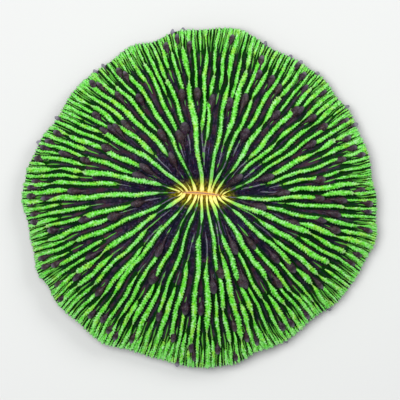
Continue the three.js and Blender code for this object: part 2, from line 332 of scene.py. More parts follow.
class TentacleSettings(bpy.types.PropertyGroup):
    length: length("Head Length", "Length of a tentacle's round head", 0.0038, 0.001, 0.01)
    width: length("Head Width", "Width of a tentacle's round head", 0.0031, 0.001, 0.01)
    height: length("Head Height", "Height of a tentacle's round head", 0.0026, 0.001, 0.01)
    stem: length("Stem Length", "Length of the stem that trails towards the mouth", 0.0035, 0.0, 0.02)


class ColourSettings(bpy.types.PropertyGroup):
    crest: paint("Crest", "Bright green of the ridges' crests", 122, 222, 78)
    crest_inner: paint("Inner Crest", "Paler, cooler green of the crests nearer the mouth", 136, 209, 118)
    crest_rim: paint("Rim Crest", "Green of the crests' ends at the rim", 140, 234, 108)
    crest_mouth: paint("Mouth Crest", "Yellow of the crests' inner ends", 255, 246, 140)
    # Painted shade: green-black for the ridges' sides, where shadow falls between the ridges.
    side_shade: paint("Ridge Side", "Green-black of the ridges' sides", 6, 70, 2)
    flesh: paint("Flesh", "Dark purple of the flesh between the ridges", 20, 13, 36)
    flesh_streak: paint("Flesh Streaks", "Lilac of the streaks in the flesh", 90, 82, 130)
    tentacle: paint("Tentacle", "Dark brown of the tentacles", 50, 33, 38)
    tentacle_tip: paint("Tentacle Tip", "Pale grey-lilac of the tentacles' outer ends", 150, 146, 160)
    lips: paint("Lips", "Orange of the mouth's lips", 232, 172, 62)
    slit: paint("Slit", "Pink-lilac of the line between the lips", 178, 132, 112)
    underside: paint("Underside", "Pale chalky skeleton in the middle underneath", 206, 198, 176)


class StageSettings(bpy.types.PropertyGroup):
    floor: paint("Floor", "Colour of the plain floor", 226, 226, 224)
    camera_height: length("Camera Height", "Height of the camera above the floor", 0.8, 0.2, 3.0)
    picture_width: length(
        "Picture Width", "What the picture's width takes in at the level of the rim", 0.1334, 0.05, 1.0)
    key_power: power("Key Power", "Power of the large soft key light", 4.3)
    fill_power: power("Fill Power", "Power of the fill light on the other side", 1.75)


def smooth(x, low, high):
    """Eased from 0 at low to 1 at high, and flat outside them. low may be the greater one."""
    part = np.clip((np.asarray(x, float) - low) / (high - low), 0.0, 1.0)
    return part * part * (3.0 - 2.0 * part)


def lerp(start, end, part):
    return start + (end - start) * part


def eased(x, low, high, start, end):
    """Goes smoothly from start to end while x goes from low to high."""
    return lerp(start, end, smooth(x, low, high))


def step_at(edges, x):
    """Which step between two edges each x falls in."""
    return np.clip(np.searchsorted(edges, x, side="right") - 1, 0, len(edges) - 2)


def scatter(n):
    """A number from 0 to 1 that looks random and is the same each time. A thing's number plus a
    fraction gives it one draw of its own for each use."""
    s = math.sin(n * 12.9898) * 43758.5453
    return s - math.floor(s)


def way(angle):
    """The way at an angle, of length 1."""
    return np.exp(1j * np.radians(angle))


SLIT_WAY = way(MOUTH_TURN)


def rim_reach(angle):
    """Distance from the origin to the rim, in mm."""
    turn = np.mod(angle, 360.0)
    i = step_at(RIM_ANGLES, turn)
    part = (turn - RIM_ANGLES[i]) / (RIM_ANGLES[i + 1] - RIM_ANGLES[i])
    return eased(part, 0.0, 1.0, RIM_REACHES[i], RIM_REACHES[i + 1])


def spot(share, angle, inset=0.0):
    """The place at a share of the way from the slit to the rim."""
    from_slit = MOUTH + MOUTH_HALF_LENGTH * np.cos(np.radians(angle) - np.radians(MOUTH_TURN)) * SLIT_WAY
    return lerp(from_slit, (rim_reach(angle) - inset) * way(angle), share)


def in_space(place, height):
    """Places seen from above and their heights, as rows of x, y and z."""
    return np.stack([place.real, place.imag, height], axis=1)


def wave(share, angle):
    return WAVE_HEIGHT * share ** WAVE_FALL_OFF * np.sin(WAVE_COUNT * np.radians(angle) + WAVE_START)


def flesh_height(share, angle):
    """Height of the flesh between the ridges, in mm."""
    dome = DOME_RISE * np.maximum(0.0, 1.0 - share * share) ** DOME_FULLNESS
    pit = PIT_DEPTH * np.exp(-((share / PIT_REACH) ** 2))
    return RIM_LEVEL + dome - pit + wave(share, angle)


class Ridge:
    """One ridge: its place in the growth order, and where it starts."""

    end = 1.0

    def __init__(self, number, order, start, angles=None, left=None, right=None, wraps=False, between=0.5):
        self.number = number
        self.order = order
        self.start = start
        self.angles = angles
        self.left = left
        self.right = right
        self.wraps = wraps
        self.between = between

    def dip(self):
        """The share where the ridge dips under a tentacle, or None."""
        if scatter(self.number + 0.6) > DIPS_WITH_TENTACLE:
            return None
        share = max(self.start, TENTACLES_FROM) + DIP_AFTER + DIP_SPREAD * scatter(self.number + 0.65)
        return share if share < TENTACLES_TO else None

    def height(self, share):
        """Height of the crest above the flesh, in mm."""
        inner = eased(share, 0.0, FULL_FROM, RIDGE_PART_AT_MOUTH, 1.0)
        outer = eased(share, FULL_TO, 1.0, 1.0, RIDGE_PART_AT_RIM)
        started = 1.0 if self.order == 1 else np.clip((share - self.start) / RIDGE_RISE, 0.0, 1.0)
        dip = self.dip()
        sunk = 1.0 if dip is None else 1.0 - DIP_DEPTH * np.exp(-(((share - dip) / DIP_REACH) ** 2))
        return RIDGE_HEIGHT * inner * outer * started * sunk * (1.0 - LOWER_BY_ORDER * (self.order - 1))

    def breaks(self):
        """Shares where the bright crest is interrupted, from the mouth outwards."""
        found = []
        share = self.dip()
        if share is None:
            after, spread = BREAK_AFTER
            share = max(self.start, TENTACLES_FROM) + after + spread * scatter(self.number + 0.31)
        while share < BREAKS_TO:
            found.append(share)
            share += BREAK_AGAIN[0] + BREAK_AGAIN[1] * scatter(self.number + 7.7 * share)
        return found


class PlainRidge(Ridge):
    """A ridge without breaks in its crest."""

    def breaks(self):
        return []


class Septum(PlainRidge):
    """A short ridge that stands between two first ridges and ends near the mouth."""

    def __init__(self, number, between, end):
        super().__init__(number, 1, 0.0, between=between)
        self.end = end

    def height(self, share):
        return RIDGE_HEIGHT * RIDGE_PART_AT_MOUTH * lerp(*SEPTUM_HEIGHTS, share / self.end)


class Fringe(PlainRidge):
    """A thin low ridge that stands between two others at the rim."""

    def __init__(self, number, between, start):
        super().__init__(number, THIN_ORDER, start, between=between)

    def height(self, share):
        started = np.clip((share - self.start) / (0.5 * RIDGE_RISE), 0.0, 1.0)
        return RIDGE_HEIGHT * RIDGE_PART_AT_RIM * lerp(*FRINGE_HEIGHTS, scatter(self.number)) * started


def ridge_angles(ridges, share):
    """Each ridge's angle at a share. A later ridge keeps between its two neighbours."""
    share = np.asarray(share, float)
    turns = share * MEAN_REACH / MEANDER_LENGTH
    swing = np.degrees(MEANDER / (MOUTH_HALF_LENGTH + share * MEAN_REACH))
    angles = []
    for ridge in ridges:
        sway = swing * np.sin(2 * math.pi * (turns + scatter(ridge.number)))
        if ridge.order == 1:
            slit, quarter, rim = ridge.angles
            x = np.sqrt(share)
            curve = slit * (1 - x) * (1 - 2 * x) + 4 * quarter * x * (1 - x) + rim * x * (2 * x - 1)
            angles.append(curve + sway)
        elif ridge.order == 2:
            run = np.clip((share - ridge.start) / (1 - ridge.start), 0.0, 1.0)
            angles.append(lerp(*ridge.angles, run ** SPREAD_EASE) + sway)
        else:
            right = angles[ridge.right] + (360 if ridge.wraps else 0)
            angles.append(lerp(angles[ridge.left], right, ridge.between))
    return angles


def ridges_at(ridges, share):
    """The ridges that have started at a share, in order round the mouth, as (angle, ridge)."""
    angles = ridge_angles(ridges, share)
    live = [(float(angles[ridge.number]), ridge) for ridge in ridges if ridge.start <= share]
    return sorted(live, key=lambda pair: pair[0])


def gap_between(share, angle, next_angle):
    """How far apart two lines are at a share, in mm."""
    return np.abs(spot(share, next_angle) - spot(share, angle))


def grow_ridges():
    """All the ridges of the plain solid, each one after those that it grows between."""
    ridges = [Ridge(i, 1, 0.0, angles) for i, angles in enumerate(FIRST_RIDGES)]
    for start, *angles in SECOND_RIDGES:
        ridges.append(Ridge(len(ridges), 2, start, angles))
    share = LATER_FROM
    while share < LATER_TO:
        widest = np.interp(share, *zip(*WIDEST_GAPS))
        live = ridges_at(ridges, share)
        for i, (angle, here) in enumerate(live):
            next_angle, following = live[(i + 1) % len(live)]
            number = len(ridges)
            least = widest * (1 + GAP_SCATTER * (scatter(number) - 0.5))
            if gap_between(share, angle, next_angle) < least:
                continue
            ridges.append(Ridge(
                number,
                max(here.order, following.order, 2) + 1,
                share + LATER_STEP * scatter(number + 0.5),
                left=here.number,
                right=following.number,
                wraps=i + 1 == len(live),
                between=0.5 + BETWEEN_SCATTER * (scatter(number + 0.25) - 0.5),
            ))
        share += LATER_STEP
    return ridges


def seen_ridges():
    """The ridges of the plain solid, with the later ones moved to where they come into sight."""
    ridges = grow_ridges()
    for ridge in ridges:
        if ridge.order > 2:
            ridge.start += float(np.interp(ridge.start, *zip(*SEEN_LATER)))
    return ridges


RIDGES = seen_ridges()
FINE_SHARES = np.linspace(0.0, 1.0, 1201)
FINE_ANGLES = ridge_angles(RIDGES, FINE_SHARES)


def between_neighbours(share, least_gap):
    """A new line about halfway between each two ridges with a wide gap at a share, as its number and
    place between them. It joins FINE_ANGLES."""
    def line_near(angle, ridge):
        line = FINE_ANGLES[ridge.number]
        return line + 360 * round((angle - float(np.interp(share, FINE_SHARES, line))) / 360)

    live = ridges_at(RIDGES, share)
    for (angle, here), (next_angle, following) in zip(live, live[1:] + [(live[0][0] + 360, live[0][1])]):
        if gap_between(share, angle, next_angle) > least_gap:
            number = len(FINE_ANGLES)
            between = 0.4 + 0.2 * scatter(number + 0.9)
            FINE_ANGLES.append(lerp(line_near(angle, here), line_near(next_angle, following), between))
            yield number, between


SEPTA = [
    Septum(number, between, SEPTUM_TO[0] + SEPTUM_TO[1] * scatter(number + 0.2))
    for number, between in between_neighbours(SEPTUM_TO[0], SEPTUM_ROOM)
]
FRINGE = [
    Fringe(number, between, FRINGE_FROM[0] + FRINGE_FROM[1] * scatter(number + 0.2))
    for number, between in between_neighbours(FRINGE_AT, FRINGE_ROOM)
]


def tentacle_seats():
    """Where the tentacles sit, as (ridge, share)."""
    seats = []
    for ridge in RIDGES:
        at_start = ridge.order > 1 and ridge.start < TENTACLES_TO
        if at_start and scatter(ridge.number + 0.75) < STARTS_WITH_TENTACLE:
            seats.append((ridge, ridge.start))
        if ridge.dip() is not None:
            seats.append((ridge, ridge.dip()))
    for ridge in RIDGES:
        if ridge.start >= TENTACLES_TO and scatter(ridge.number + 0.77) < LAST_STARTS_WITH_TENTACLE:
            seats.append((ridge, ridge.start))
    for ridge in RIDGES[::RIM_TENTACLE_EACH]:
        if rim_reach(FINE_ANGLES[ridge.number][-1]) < RIM_TENTACLE_REACH:
            seats.append((ridge, RIM_TENTACLE_AT))
    return seats


def in_mm(metres):
    return metres / MM


def add_object(name, data):
    """A new object in the scene."""
    added = bpy.data.objects.new(name, data)
    bpy.context.scene.collection.objects.link(added)
    return added


def tube_form(sides, rings, tris=False):
    """A closed upright tube of radius 1 from height 0 to 1, with this many rings of points."""
    form = bmesh.new()
    bmesh.ops.create_cone(
        form, cap_ends=True, cap_tris=tris, segments=sides, radius1=1.0, radius2=1.0, depth=1.0)
    bmesh.ops.translate(form, vec=(0.0, 0.0, 0.5), verts=form.verts)
    long_edges = [e for e in form.edges if abs(e.verts[0].co.z - e.verts[1].co.z) > 0.5]
    bmesh.ops.subdivide_edges(form, edges=long_edges, cuts=rings - 2, use_grid_fill=True)
    return form


def ball_form(sides, rings):
    form = bmesh.new()
    bmesh.ops.create_uvsphere(form, u_segments=sides, v_segments=rings, radius=1.0)
    return form


def vertex_places(mesh):
    places = np.empty(len(mesh.vertices) * 3)
    mesh.vertices.foreach_get("co", places)
    return places.reshape(-1, 3)


class Gather:
    """Collects many small forms in one mesh, and the places and values of their vertices."""

    def __init__(self, name):
        self.mesh = bpy.data.meshes.new(name)
        self.joined = bmesh.new()
        self.places = []
        self.values = {}

    def add(self, form, shape):
        """Adds a form. shape takes its points and gives their places in mm and their named values."""
        single = bpy.data.meshes.new("single")
        form.to_mesh(single)
        form.free()
        self.joined.from_mesh(single)
        places, values = shape(vertex_places(single))
        bpy.data.meshes.remove(single)
        self.places.append(places)
        for key, value in values.items():
            self.values.setdefault(key, []).append(np.broadcast_to(value, len(places)))

    def finish(self, material):
        """Makes the object, with its smooth faces, its values as attributes and its material."""
        self.joined.to_mesh(self.mesh)
        self.joined.free()
        self.mesh.vertices.foreach_set("co", (np.concatenate(self.places) * MM).ravel())
        self.mesh.polygons.foreach_set("use_smooth", [True] * len(self.mesh.polygons))
        for key, parts in self.values.items():
            layer = self.mesh.attributes.new(key, "FLOAT", "POINT")
            layer.data.foreach_set("value", np.concatenate(parts).astype(np.float32))
        self.mesh.update()
        self.mesh.materials.append(material)
        piece = add_object(self.mesh.name, self.mesh)
        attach(piece, "root")
        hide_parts(NODE)


class Wire:
    """A node's output in an expression: arithmetic on it adds Math nodes."""

    def __init__(self, finish, socket):
        self.finish = finish
        self.socket = socket

    def math(self, operation, *values):
        return self.finish.add("ShaderNodeMath", {"operation": operation}, dict(enumerate(values)))

    def __add__(self, other):
        return self.math("ADD", self, other)

    def __radd__(self, other):
        return self.math("ADD", other, self)

    def __sub__(self, other):
        return self.math("SUBTRACT", self, other)

    def __rsub__(self, other):
        return self.math("SUBTRACT", other, self)

    def __mul__(self, other):
        return self.math("MULTIPLY", self, other)

    def __rmul__(self, other):
        return self.math("MULTIPLY", other, self)

    def __abs__(self):
        return self.math("ABSOLUTE", self)

    def eased(self, low, high, start=0.0, end=1.0):
        """Goes smoothly from start to end while the wire goes from low to high."""
        settings = {"interpolation_type": "SMOOTHSTEP"}
        sockets = {"Value": self, "From Min": low, "From Max": high, "To Min": start, "To Max": end}
        return self.finish.add("ShaderNodeMapRange", settings, sockets)


class Finish:
    """One material, made of nodes."""

    def __init__(self, name):
        self.material = bpy.data.materials.new(name)
        self.material.use_nodes = True
        self.tree = self.material.node_tree
        self.tree.nodes.clear()

    def add(self, kind, settings=None, sockets=None, out=0):
        """Adds a node, sets its settings and then its sockets, and gives one of its outputs."""
        node = self.tree.nodes.new(kind)
        for key, value in (settings or {}).items():
            setattr(node, key, value)
        for key, value in (sockets or {}).items():
            socket = node.inputs[key]
            if isinstance(value, Wire):
                self.tree.links.new(value.socket, socket)
            elif socket.type == "RGBA" and len(value) == 3:
                socket.default_value = (*value, 1.0)
            else:
                socket.default_value = value
        return Wire(self, node.outputs[out])

    def values(self, *names):
        """Named values that were kept on the piece's points."""
        return [self.add("ShaderNodeAttribute", {"attribute_name": name}, out="Fac") for name in names]

    def place(self):
        return self.add("ShaderNodeTexCoord", out="Object")

    def point(self, *parts):
        return self.add("ShaderNodeCombineXYZ", sockets=dict(enumerate(parts)))

    def noise(self, vector, scale, detail=2.0, roughness=0.5, distortion=0.0):
        return self.add("ShaderNodeTexNoise", sockets={
            "Vector": vector, "Scale": scale, "Detail": detail, "Roughness": roughness,
            "Distortion": distortion})

    def mix(self, factor, first, second):
        """A colour between two colours."""
        settings = {"data_type": "RGBA", "blend_type": "MIX", "clamp_factor": True}
        return self.add("ShaderNodeMix", settings, {0: factor, 6: first, 7: second}, out=2)

    def coats(self, colour, *coats):
        """A colour under coats, each as how much it covers and its colour."""
        for cover, coat in coats:
            colour = self.mix(cover, colour, coat)
        return colour

    def bump(self, strength, distance, height):
        return self.add(
            "ShaderNodeBump", sockets={"Strength": strength, "Distance": distance, "Height": height})

    def surface(self, sockets):
        """Ends the material in one shader with these sockets."""
        shader = self.add("ShaderNodeBsdfPrincipled", sockets=sockets)
        output = self.tree.nodes.new("ShaderNodeOutputMaterial")
        self.tree.links.new(shader.socket, output.inputs["Surface"])
        return self.material


def crest_finish(colours):
    """Bright toothed crests: yellow at the mouth, green outwards, pale tips, painted shade on the sides and
    in the notches, painted highlights on the edges and tooth tips, and a faint painted glow.
    """
    finish = Finish("green_crest")
    place = finish.place()
    share, crest, tooth, phase, side, tip, root, lead, tint, number = finish.values(
        "share", "crest", "tooth", "phase", "side", "tip", "root", "lead", "tint", "number")
    edge = abs(side)
    streaks = finish.noise(finish.point(phase * 0.8, side * 1.3, number), 1.0, 3.0, 0.55, 0.4)
    rich = finish.noise(finish.point(phase * 0.6, side * 1.2 + 40, number), 1.0, 2.0, 0.5, 0.4)
    patches = finish.noise(place, 260.0, 3.0)
    grain = finish.noise(place, 2600.0, 2.0)

    # Painted shade in the notches between the teeth and along the crests' outer edges, with darker random
    # streaks along the crests.
    notches = tooth.eased(0.1, 0.6, 0.9, 0.0) * edge.eased(0.5, 1.0)
    deep = notches + streaks.eased(0.34, 0.46, 0.8, 0.0) + edge.eased(0.75, 1.0) * 0.2
    rim_tip = share.eased(0.974, 0.994) * crest.eased(0.86, 0.98)
    mouth = share.eased(0.045, 0.12, 1.0, 0.0)
    yellow = finish.coats(
        colours.crest_mouth,
        (share.eased(0.035, 0.08), srgb(206, 234, 92)),
        (streaks.eased(0.4, 0.5, 0.5, 0.0), srgb(170, 178, 20)),
        # Painted shade: a deeper orange right by the lips, where the crests run down to the slit.
        (share.eased(0.0, 0.022, 0.6, 0.0), srgb(240, 180, 84)))
    thread = finish.coats(
        srgb(104, 98, 116),
        (streaks.eased(0.35, 0.65), srgb(62, 58, 80)),
        (patches.eased(0.5, 0.6) + share.eased(0.4, 0.65), srgb(88, 170, 56)))
    green = finish.coats(
        colours.crest_inner,
        (share.eased(0.16, 0.62), colours.crest),
        (share.eased(0.8, 1.0), colours.crest_rim),
        (tint.eased(0.55, 1.0) * 0.35, srgb(84, 206, 76)),
        (rich.eased(0.42, 0.58) * edge.eased(0.3, 0.9, 0.95, 0.5), srgb(84, 214, 12)),
        (patches.eased(0.5, 0.66) * 0.6, srgb(158, 218, 44)),
        # Pale streaks, partly painted highlight as they grow stronger towards the edges.
        (streaks.eased(0.52, 0.66) * edge.eased(0.1, 0.8, 0.6, 0.95), srgb(184, 236, 176)),
        (grain.eased(0.54, 0.72) * 0.25, srgb(176, 250, 140)),
        # Painted highlight: pale tooth tips at the crests' edges.
        (tooth.eased(0.6, 0.9) * edge.eased(0.45, 0.9) * 0.7, srgb(186, 242, 168)),
        # Painted shade in the notches and at the edges, with dark streaks.
        (deep * share.eased(0.05, 0.2), srgb(40, 132, 12)),
        (root * 0.6, srgb(112, 140, 40)),
        (tip * 0.5, srgb(206, 236, 176)),
        (rim_tip * 0.5, srgb(162, 240, 158)),
        (mouth, yellow),
        (lead, thread))
    # Painted shade: the ridges' sides and lower crest turn green-black, greener outwards and olive at the
    # mouth, in place of the shadow between the ridges.
    below = finish.coats(
        colours.side_shade,
        (share.eased(0.55, 0.95), srgb(8, 80, 3)),
        (mouth * 0.8, srgb(140, 118, 12)))
    colour = finish.mix(crest.eased(0.6, 0.9), below, green)
    return finish.surface({
        "Base Color": colour,
        "Roughness": grain.eased(0.3, 0.7, 0.3, 0.46),
        "Specular IOR Level": 0.35,
        "Normal": finish.bump(0.5, 0.00015, grain + streaks),
        # Painted glow: a faint emission of the crest's own colour keeps the crests bright in the shade
        # between the ridges.
        "Emission Color": colour,
        "Emission Strength": 0.06,
    })


def flesh_finish(colours):
    """Dark flesh between the ridges, streaked along them, with painted shade at the ridges' feet and towards
    the rim, painted light in the middle of wide gaps and a painted highlight on the fold tops, and the
    underside.
    """
    finish = Finish("dark_flesh")
    place = finish.place()
    share, foot, near, under, fold, flow_x, flow_y, flow_out = finish.values(
        "share", "foot", "near", "under", "fold", "flow_x", "flow_y", "flow_out")
    flow = finish.point(flow_x, flow_y, flow_out)
    streaks = finish.noise(flow, 1.0, 3.0, 0.6)
    fine = finish.noise(flow, 2.3, 2.0, 0.5)
    patches = finish.noise(place, 160.0, 2.0)
    mottle = finish.noise(place, 1300.0, 2.0)
    grain = finish.noise(place, 2200.0, 2.0)
    blotches = finish.noise(place, 420.0, 3.0)

    # Painted light: the middle of wide gaps, away from the ridges, is lighter and streaked.
    open_gap_light = near.eased(0.35, 0.8) * share.eased(0.3, 0.6) * share.eased(0.8, 0.95, 1.0, 0.0)
    # Distance past a crest's edge over which the flesh gets painted shade.
    shade_distance = near - share.eased(0.25, 0.38) * share.eased(0.55, 0.8, 1.0, 0.0) * 0.1
    olive = finish.mix(mottle.eased(0.4, 0.6), srgb(70, 60, 2), srgb(142, 132, 10))
    flesh = finish.coats(
        colours.flesh,
        (patches.eased(0.42, 0.58), srgb(6, 13, 38)),
        (fine.eased(0.5, 0.64) * 0.7, srgb(42, 20, 64)),
        (fine.eased(0.38, 0.48, 0.9, 0.0), srgb(1, 7, 8)),
        (streaks.eased(0.56, 0.68) * 0.6, colours.flesh_streak),
        # Painted highlight: lilac on the raised tops of the folds.
        (fold.eased(0.2, 1.0) * 0.25, srgb(66, 46, 84)),
        (grain.eased(0.56, 0.7) * 0.35, srgb(92, 26, 50)),
        (grain.eased(0.3, 0.42, 0.4, 0.0), srgb(20, 20, 66)),
        (mottle.eased(0.56, 0.7) * 0.42, srgb(98, 98, 120)),
        (mottle.eased(0.36, 0.46, 0.8, 0.0), srgb(2, 5, 10)),
        # Painted light in the open middle of wide gaps.
        (open_gap_light * streaks.eased(0.35, 0.6, 0.3, 0.75), srgb(74, 62, 72)),
        (blotches.eased(0.52, 0.62) * share.eased(0.2, 0.5, 0.15, 0.6), srgb(76, 42, 50)),
        (blotches.eased(0.38, 0.48, 0.75, 0.0), srgb(6, 14, 30)),
        # Painted shade: green-black flesh within about half a millimetre of each crest's edge, where the
        # ridges shade it.
        (shade_distance.eased(0.1, 0.58, 0.96, 0.0), srgb(3, 52, 4)),
        # Painted shade: towards the rim the flesh turns dark green-black, where the valleys between the
        # crowded ridges are narrow and deep.
        (share.eased(0.72, 0.96) * 0.78, srgb(8, 66, 2)),
        (share.eased(0.03, 0.11, 1.0, 0.0), olive),
        (share.eased(0.01, 0.04, 1.0, 0.0) * 0.7, srgb(180, 132, 16)))

    bands = finish.noise(finish.point(share * 26, flow_x * 0.02, flow_y * 0.02), 1.0, 2.0)
    granules = finish.add("ShaderNodeTexVoronoi", sockets={"Vector": place, "Scale": 640.0})
    chalk = finish.coats(
        colours.underside,
        (grain.eased(0.3, 0.7), srgb(178, 168, 146)),
        (bands.eased(0.48, 0.6) * 0.45, srgb(152, 138, 110)),
        (patches.eased(0.52, 0.64) * 0.45, srgb(180, 142, 140)),
        (foot.eased(0.25, 0.75, 0.55, 0.0) * share.eased(0.22, 0.5), srgb(122, 110, 92)),
        (share.eased(0.07, 0.12, 0.6, 0.0), srgb(134, 120, 98)))
    margin = finish.coats(
        srgb(82, 66, 72),
        (foot.eased(0.3, 0.8), srgb(104, 146, 76)),
        (granules.eased(0.15, 0.4, 0.5, 0.0), srgb(168, 184, 136)))
    below = finish.mix(share.eased(0.6, 0.94), chalk, margin)
    return finish.surface({
        "Base Color": finish.mix(under, flesh, below),
        "Roughness": grain.eased(0.3, 0.7, 0.42, 0.62),
        "Specular IOR Level": 0.06,
        "Normal": finish.bump(0.3, 0.0001, grain + under * granules.eased(0.0, 0.6, 3.0, 0.0)),
    })


def tentacle_finish(colours):
    """Soft dark brown, mottled, with a painted highlight round its outline, and paler and greyer at the outer
    end.
    """
    finish = Finish("brown_tentacle")
    place = finish.place()
    outline_highlight, pale, kind = finish.values("outline_highlight", "pale", "kind")
    mottle = finish.noise(place, 900.0, 3.0)
    fine = finish.noise(place, 2400.0, 2.0)
    colour = finish.coats(
        colours.tentacle,
        (kind.eased(0.2, 0.5), srgb(44, 30, 50)),
        (kind.eased(0.6, 0.9), srgb(52, 44, 40)),
        (mottle.eased(0.4, 0.55) * 0.8, srgb(20, 17, 26)),
        (fine.eased(0.36, 0.46, 0.5, 0.0), srgb(80, 32, 36)),
        (mottle.eased(0.56, 0.7) * 0.5, srgb(90, 72, 82)),
        (fine.eased(0.54, 0.66) * 0.45, srgb(106, 90, 94)),
        # Painted highlight: paler round the tentacle's outline, where its sides turn down.
        (outline_highlight.eased(0.75, 1.0) * 0.25, srgb(78, 68, 74)),
        (pale, colours.tentacle_tip))
    return finish.surface({
        "Base Color": colour,
        "Roughness": mottle.eased(0.3, 0.7, 0.4, 0.55),
        "Specular IOR Level": 0.25,
        "Normal": finish.bump(0.3, 0.0001, mottle),
    })


def lips_finish(colours):
    """Orange lips with a pink-lilac line between them."""
    finish = Finish("orange_lips")
    (across,) = finish.values("across")
    mottle = finish.noise(finish.place(), 700.0, 2.0)
    colour = finish.coats(
        colours.lips,
        (mottle.eased(0.4, 0.65) * 0.5, srgb(250, 226, 120)),
        (across.eased(0.18, 0.46, 1.0, 0.0), colours.slit),
        (across.eased(0.75, 1.0), srgb(168, 118, 30)))
    return finish.surface({
        "Base Color": colour,
        "Roughness": mottle.eased(0.3, 0.7, 0.35, 0.5),
        "Normal": finish.bump(0.25, 0.0001, mottle),
        # Painted glow: a faint emission of the lips' own colour brightens them.
        "Emission Color": colour,
        "Emission Strength": 0.08,
    })


def floor_finish(colour):
    finish = Finish("pale_floor")
    shade = finish.noise(finish.place(), 3.0, 2.0)
    tone = finish.mix(shade.eased(0.3, 0.7) * 0.15, colour, tuple(0.9 * part for part in colour))
    return finish.surface({"Base Color": tone, "Roughness": 0.8})


def foot_of(share, angle):
    """Where many angles at one share lie between two ridges: 1 on a ridge's line to 0 halfway, and how
    far from the nearest line in mm."""
    live = np.array([pair[0] for pair in ridges_at(RIDGES, share)])
    live = np.concatenate([live[-1:] - 360, live, live[:1] + 360])
    turn = np.mod(angle - live[0], 360.0) + live[0]
    i = step_at(live, turn)
    part = np.clip((turn - live[i]) / np.maximum(live[i + 1] - live[i], TINY), 0, 1)
    return np.abs(2 * part - 1), gap_between(share, live[i], live[i + 1]) * np.minimum(part, 1 - part)


def under_height(share, angle):
    """Height of the underside, in mm."""
    outside = smooth(share, RING_OUTER, 1.0) ** EDGE_FULLNESS * (EDGE_LEVEL + wave(1.0, angle))
    inner = [(0.0, HOLLOW[-1][1])] + HOLLOW[::-1] + [(RING_INNER, 0.0), (1.0, 0.0)]
    return outside + np.interp(share, *zip(*inner))


def crest_width(share, settings):
    """The usual width of a crest, in mm, at a share."""
    inner = eased(share, 0.05, 0.42, in_mm(settings.mouth_width), in_mm(settings.width))
    return eased(share, 0.75, 0.97, inner, in_mm(settings.rim_width))


def skin_folds(share, turn):
    """Folds that run outwards in the flesh, finer further out, from -1 to 1."""
    waves, groups = INNER_FOLDS
    inner = np.sin(waves * turn + 5 * np.sin(3 * turn + 9 * share)) * np.sin(groups * turn + 11 * share + 1.3)
    outer = np.sin(OUTER_FOLDS * turn + 4 * np.sin(5 * turn + 14 * share))
    return eased(share, 0.35, 0.55, inner, outer)


def skin_shape(points):
    """Lays the tube's rings over the disc: its top is the mouth and its bottom is underneath."""
    rows = np.array(SKIN_ROWS)
    ring = np.rint((1.0 - points[:, 2]) * (len(rows) - 1)).astype(int)
    share, edge = rows[ring].T
    angle = np.degrees(np.arctan2(points[:, 1], points[:, 0]))
    turn = np.radians(angle)
    middle = np.hypot(points[:, 0], points[:, 1]) < 0.5
    foot = np.zeros(len(points))
    near = np.zeros(len(points))
    for number, (row_share, row_edge) in enumerate(SKIN_ROWS):
        here = ring == number
        foot[here], near[here] = foot_of(row_share if row_edge == 0 else 1.0, angle[here])
    near = near - 0.5 * crest_width(np.where(edge == 0, share, 1.0), bpy.context.scene.coral_ridges)
    under = edge * (share < 1.0)
    share = np.where(middle, 0.0, share)
    at_edge = share == 1.0

    inset = OVERHANG * smooth(share, 0.85, 1.0)
    bulge = EDGE_BULGE * np.sin(np.pi * edge) * at_edge
    below = (rim_reach(angle) - inset) * share * way(angle)
    place = np.where(under > 0, below, spot(share, angle, inset - bulge))
    place = np.where(middle, np.where(edge == 0, MOUTH, 0.0), place)

    fold = skin_folds(share, turn) * (1 - foot)
    top = flesh_height(share, angle) + FLESH_CLIMB * foot ** 2 + FOLD_HEIGHT * fold * smooth(share, 0.05, 0.2)
    bottom = under_height(share, angle) + COSTA_HEIGHT * (1 - foot) * smooth(share, 0.15, 0.6)
    edge_bottom = EDGE_LEVEL + wave(1.0, angle) + COSTA_HEIGHT * (1 - foot)
    height = np.where(under > 0, bottom, top)
    height = np.where(at_edge, lerp(flesh_height(1.0, angle), edge_bottom, edge), height)
    return in_space(place, height), {
        "share": share,
        "foot": foot,
        "near": near,
        "under": np.where(at_edge, smooth(edge, 0.4, 1.0), under),
        "fold": np.clip(fold, 0, 1),
        "flow_x": STREAKS_ROUND * np.cos(turn),
        "flow_y": STREAKS_ROUND * np.sin(turn),
        "flow_out": STREAKS_OUT * share,
    }


def bend_to_slit(share, angle, line):
    """Bends the inner end of a line so that it meets the slit squarely."""
    out = spot(BEND_TO, np.interp(BEND_TO, share, angle))
    slit_angle = np.interp(0.0, share, angle)
    start = lerp(MOUTH, spot(0.0, slit_angle), SLIT_PART) + LIP_EDGE * way(slit_angle)
    reach = (out - start) / SLIT_WAY
    start = start + BEND_SIDEWAYS * reach.real * SLIT_WAY
    along, aside = BEND_TURNING
    turning = start + complex(along * reach.real, aside * reach.imag) * SLIT_WAY
    part = np.clip(share / BEND_TO, 0.0, 1.0)
    bent = start * (1 - part) ** 2 + 2 * turning * part * (1 - part) + out * part ** 2
    return np.where(share < BEND_TO, bent, line)


